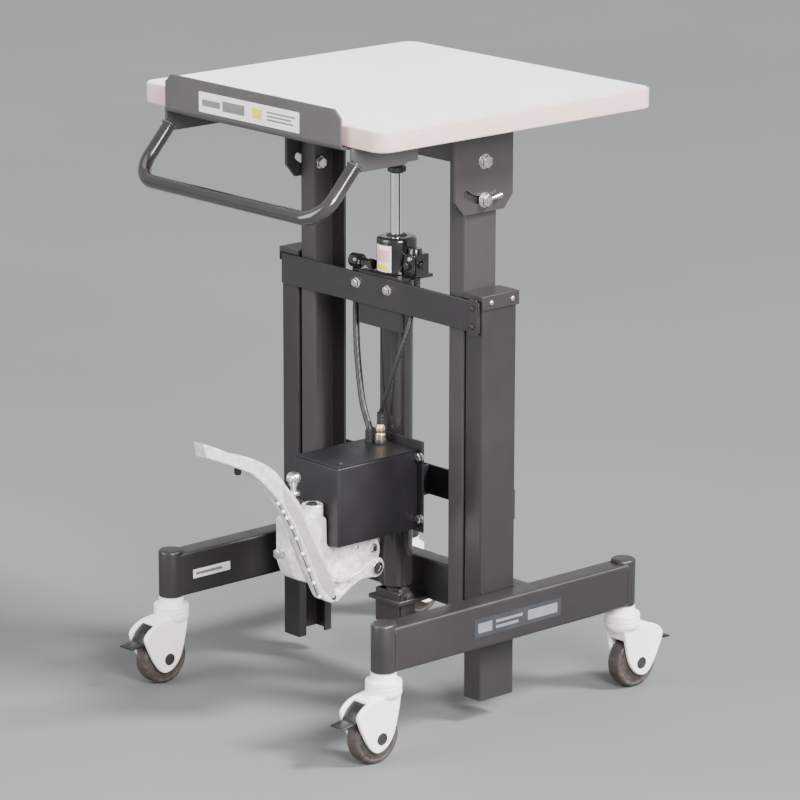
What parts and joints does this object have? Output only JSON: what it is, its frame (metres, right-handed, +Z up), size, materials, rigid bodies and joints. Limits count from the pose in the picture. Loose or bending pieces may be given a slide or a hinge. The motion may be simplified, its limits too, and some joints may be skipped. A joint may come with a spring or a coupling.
{
  "type": "hydraulic lift table",
  "caption": "Mobile lift table: a square tilting top on telescoping posts, raised by a foot-pumped hydraulic ram, with a push handle and braked swivel casters.",
  "frame": {"origin": "on the floor, under the centre of the whole machine's bounding box", "axes": "+Z up, -Y towards the operator, push handle and pedal, +X to the operator's right"},
  "size_m": [0.5036, 0.719, 0.8845],
  "materials": {
    "charcoal_paint": "satin charcoal enamel",
    "black_tube_paint": "gloss near-black enamel",
    "tank_paint": "satin dark slate enamel",
    "gloss_black_paint": "gloss black enamel",
    "laminate": "white laminate on particle board, beige edge band",
    "black_plastic": "moulded, semi-matt",
    "guide_nylon": "natural nylon",
    "chrome": "polished hard chrome",
    "zinc": "bright zinc plated",
    "cast_aluminium": "as cast and tumbled",
    "brass": "turned, lightly polished",
    "hose_rubber": "smooth black hose cover",
    "caster_nylon": "moulded off-white, semi-gloss",
    "tyre_grey": "grey-brown polyurethane"
  },
  "bodies": {
    "frame": {"outer_post_left": "charcoal_paint", "outer_post_right": "charcoal_paint", "front_bar": "charcoal_paint", "rear_bar": "charcoal_paint", "base_tube": "charcoal_paint", "leg_left": "charcoal_paint", "leg_right": "charcoal_paint", "cylinder_saddle": "charcoal_paint", "cylinder_tube": "charcoal_paint", "cylinder_foot": "charcoal_paint", "pump_bracket": "charcoal_paint", "tank": "tank_paint", "cylinder_head": "gloss_black_paint", "head_valve_block": "gloss_black_paint", "head_fitting": "gloss_black_paint", "post_cap_left": "black_plastic", "post_cap_right": "black_plastic", "pedal_pin": "zinc", "pump_body": "cast_aluminium", "brass_fitting": "brass", "hose_left": "hose_rubber", "hose_right": "hose_rubber"},
    "lift": {"inner_post_left": "charcoal_paint", "inner_post_right": "charcoal_paint", "guide_shoe_left": "guide_nylon", "guide_shoe_right": "guide_nylon", "lift_beam": "charcoal_paint", "ram_rod": "chrome", "ram_rod_end": "charcoal_paint", "pivot_bolt_left": "zinc", "pivot_bolt_right": "zinc", "clamp_bolt_left": "zinc", "clamp_bolt_right": "zinc"},
    "table": {"table_top": "laminate", "handle_plate": "charcoal_paint", "handle": "black_tube_paint", "gusset_left": "charcoal_paint", "gusset_right": "charcoal_paint", "lug_left": "charcoal_paint", "lug_right": "charcoal_paint"},
    "pedal": {"pedal": "cast_aluminium"},
    "plunger": {"plunger": "zinc"},
    "release_valve": {"release_knob": "zinc"},
    "fork_front_left": {"caster_yoke_front_left": "caster_nylon"},
    "wheel_front_left": {"caster_wheel_front_left": "tyre_grey"},
    "brake_front_left": {"caster_brake_front_left": "black_plastic"},
    "fork_front_right": {"caster_yoke_front_right": "caster_nylon"},
    "wheel_front_right": {"caster_wheel_front_right": "tyre_grey"},
    "brake_front_right": {"caster_brake_front_right": "black_plastic"},
    "fork_rear_left": {"caster_yoke_rear_left": "caster_nylon"},
    "wheel_rear_left": {"caster_wheel_rear_left": "tyre_grey"},
    "brake_rear_left": {"caster_brake_rear_left": "black_plastic"},
    "fork_rear_right": {"caster_yoke_rear_right": "caster_nylon"},
    "wheel_rear_right": {"caster_wheel_rear_right": "tyre_grey"},
    "brake_rear_right": {"caster_brake_rear_right": "black_plastic"}
  },
  "joints": [
    {"name": "lift_slide", "type": "slide", "parent": "frame", "child": "lift", "axis": [0, 0, 1], "range_m": [-0.085, 0.3]},
    {"name": "table_tilt", "type": "hinge", "parent": "lift", "child": "table", "pos_m": [0, 0.0505, 0.782], "axis": [1, 0, 0], "range_deg": [0, 35]},
    {"name": "pedal_hinge", "type": "hinge", "parent": "frame", "child": "pedal", "pos_m": [0, -0.0555, 0.211], "axis": [1, 0, 0], "range_deg": [0, 28], "stiffness_Nm_per_rad": 5, "springref_deg": -25.78},
    {"name": "plunger_slide", "type": "slide", "parent": "frame", "child": "plunger", "axis": [0, 0, -1], "range_m": [0, 0.022]},
    {"name": "release_turn", "type": "hinge", "parent": "frame", "child": "release_valve", "pos_m": [0.04, -0.1717, 0.3], "axis": [0, 0, 1], "range_deg": [0, 90]},
    {"name": "swivel_front_left", "type": "hinge", "parent": "frame", "child": "fork_front_left", "pos_m": [-0.2268, -0.1745, 0.118], "axis": [0, 0, 1], "continuous": true},
    {"name": "spin_front_left", "type": "hinge", "parent": "fork_front_left", "child": "wheel_front_left", "pos_m": [-0.2268, -0.1945, 0.0375], "axis": [1, 0, 0], "continuous": true},
    {"name": "brake_front_left", "type": "hinge", "parent": "fork_front_left", "child": "brake_front_left", "pos_m": [-0.2268, -0.2165, 0.077], "axis": [1, 0, 0], "range_deg": [0, 4]},
    {"name": "swivel_front_right", "type": "hinge", "parent": "frame", "child": "fork_front_right", "pos_m": [0.2268, -0.1745, 0.118], "axis": [0, 0, 1], "continuous": true},
    {"name": "spin_front_right", "type": "hinge", "parent": "fork_front_right", "child": "wheel_front_right", "pos_m": [0.2268, -0.1945, 0.0375], "axis": [1, 0, 0], "continuous": true},
    {"name": "brake_front_right", "type": "hinge", "parent": "fork_front_right", "child": "brake_front_right", "pos_m": [0.2268, -0.2165, 0.077], "axis": [1, 0, 0], "range_deg": [0, 4]},
    {"name": "swivel_rear_left", "type": "hinge", "parent": "frame", "child": "fork_rear_left", "pos_m": [-0.2268, 0.2755, 0.118], "axis": [0, 0, 1], "continuous": true},
    {"name": "spin_rear_left", "type": "hinge", "parent": "fork_rear_left", "child": "wheel_rear_left", "pos_m": [-0.2268, 0.2955, 0.0375], "axis": [1, 0, 0], "continuous": true},
    {"name": "brake_rear_left", "type": "hinge", "parent": "fork_rear_left", "child": "brake_rear_left", "pos_m": [-0.2268, 0.3175, 0.077], "axis": [-1, 0, 0], "range_deg": [0, 4]},
    {"name": "swivel_rear_right", "type": "hinge", "parent": "frame", "child": "fork_rear_right", "pos_m": [0.2268, 0.2755, 0.118], "axis": [0, 0, 1], "continuous": true},
    {"name": "spin_rear_right", "type": "hinge", "parent": "fork_rear_right", "child": "wheel_rear_right", "pos_m": [0.2268, 0.2955, 0.0375], "axis": [1, 0, 0], "continuous": true},
    {"name": "brake_rear_right", "type": "hinge", "parent": "fork_rear_right", "child": "brake_rear_right", "pos_m": [0.2268, 0.3175, 0.077], "axis": [-1, 0, 0], "range_deg": [0, 4]}
  ],
  "couplings": [
    {"joint": "plunger_slide", "follows": "pedal_hinge", "m_per_rad": 0.044}
  ]
}
